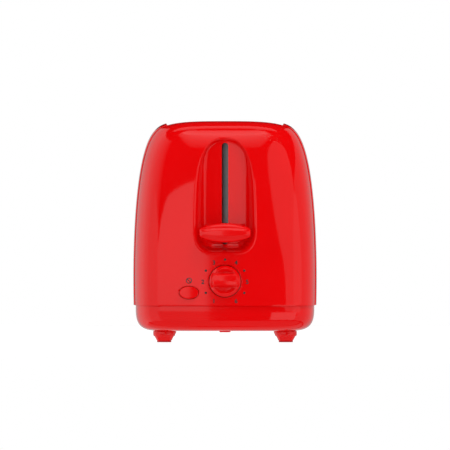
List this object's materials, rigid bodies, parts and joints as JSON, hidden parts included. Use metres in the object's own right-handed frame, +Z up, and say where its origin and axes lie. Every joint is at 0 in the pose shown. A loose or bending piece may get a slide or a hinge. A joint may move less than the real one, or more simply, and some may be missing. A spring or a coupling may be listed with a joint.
{
  "type": "pop up toaster",
  "caption": "Free-standing electric toaster with bread slots in the top, an end-mounted push-down lever, a browning dial, a cancel button and a pull-out crumb tray.",
  "frame": {"origin": "on the worktop, under the centre of the body", "axes": "+Z up, -Y towards the lever end, +X to the right of somebody facing the lever"},
  "size_m": [0.1586, 0.27, 0.1905],
  "materials": {
    "gloss_red": "high gloss moulded red",
    "gloss_red_trim": "high gloss moulded red",
    "zinc_steel": "zinc plated sheet",
    "bright_steel": "drawn and polished",
    "mica": "pressed mica sheet",
    "rubber_foot": "matt",
    "circuit_board": "paper laminate",
    "black_plastic": "moulded",
    "copper_winding": "enamelled wire",
    "soft_iron": "machined"
  },
  "bodies": {
    "housing": {"front_cover": "gloss_red", "rear_cover": "gloss_red", "side_shell_right": "gloss_red", "side_shell_left": "gloss_red", "base": "gloss_red", "top_plate": "gloss_red", "slot_collar_left": "zinc_steel", "slot_collar_right": "zinc_steel", "foot_front_left": "gloss_red_trim", "foot_front_right": "gloss_red_trim", "foot_rear_left": "gloss_red_trim", "foot_rear_right": "gloss_red_trim", "foot_pad_front_left": "rubber_foot", "foot_pad_front_right": "rubber_foot", "foot_pad_rear_left": "rubber_foot", "foot_pad_rear_right": "rubber_foot", "chassis_front": "zinc_steel", "chassis_rear": "zinc_steel", "heat_shield_left": "zinc_steel", "heat_shield_right": "zinc_steel", "chamber_roof": "zinc_steel", "guide_rod": "bright_steel", "heating_board_left": "mica", "heating_board_centre": "mica", "heating_board_right": "mica", "lift_spring": "bright_steel", "magnet_core": "soft_iron", "magnet_coil": "copper_winding", "control_board": "circuit_board", "browning_control": "black_plastic", "cancel_switch": "black_plastic", "cord_gland": "black_plastic"},
    "carriage": {"carriage_bracket": "zinc_steel", "carriage_bush": "black_plastic", "lever_knob": "gloss_red_trim", "bread_rack_left": "bright_steel", "bread_rack_right": "bright_steel", "latch_armature": "soft_iron"},
    "dial": {"browning_dial": "gloss_red_trim", "dial_shaft": "black_plastic"},
    "cancel": {"cancel_button": "gloss_red_trim"},
    "tray": {"crumb_tray": "zinc_steel", "crumb_tray_grip": "gloss_red_trim"},
    "guide_left_inner": {"bread_guide_left_inner": "bright_steel"},
    "guide_left_outer": {"bread_guide_left_outer": "bright_steel"},
    "guide_right_inner": {"bread_guide_right_inner": "bright_steel"},
    "guide_right_outer": {"bread_guide_right_outer": "bright_steel"}
  },
  "joints": [
    {"name": "carriage_slide", "type": "slide", "parent": "housing", "child": "carriage", "axis": [0, 0, 1], "range_m": [0, 0.071], "deforming": ["lift_spring"]},
    {"name": "dial_turn", "type": "hinge", "parent": "housing", "child": "dial", "pos_m": [0, -0.12, 0.0527], "axis": [0, -1, 0], "range_deg": [-240, 60]},
    {"name": "cancel_press", "type": "slide", "parent": "housing", "child": "cancel", "axis": [0, 1, 0], "range_m": [0, 0.002], "stiffness_N_per_m": 300},
    {"name": "tray_slide", "type": "slide", "parent": "housing", "child": "tray", "axis": [0, 1, 0], "range_m": [0, 0.2]},
    {"name": "guide_left_inner_tilt", "type": "hinge", "parent": "housing", "child": "guide_left_inner", "pos_m": [-0.011, 0, 0.0465], "axis": [0, 1, 0], "range_deg": [0, 3.2]},
    {"name": "guide_left_outer_tilt", "type": "hinge", "parent": "housing", "child": "guide_left_outer", "pos_m": [-0.039, 0, 0.0465], "axis": [0, 1, 0], "range_deg": [-3.2, 0]},
    {"name": "guide_right_inner_tilt", "type": "hinge", "parent": "housing", "child": "guide_right_inner", "pos_m": [0.011, 0, 0.0465], "axis": [0, 1, 0], "range_deg": [-3.2, 0]},
    {"name": "guide_right_outer_tilt", "type": "hinge", "parent": "housing", "child": "guide_right_outer", "pos_m": [0.039, 0, 0.0465], "axis": [0, 1, 0], "range_deg": [0, 3.2]}
  ],
  "couplings": [
    {"joint": "guide_left_inner_tilt", "follows": "carriage_slide", "rad_per_m": 0.7375},
    {"joint": "guide_left_outer_tilt", "follows": "carriage_slide", "rad_per_m": -0.7375},
    {"joint": "guide_right_inner_tilt", "follows": "carriage_slide", "rad_per_m": -0.7375},
    {"joint": "guide_right_outer_tilt", "follows": "carriage_slide", "rad_per_m": 0.7375}
  ]
}
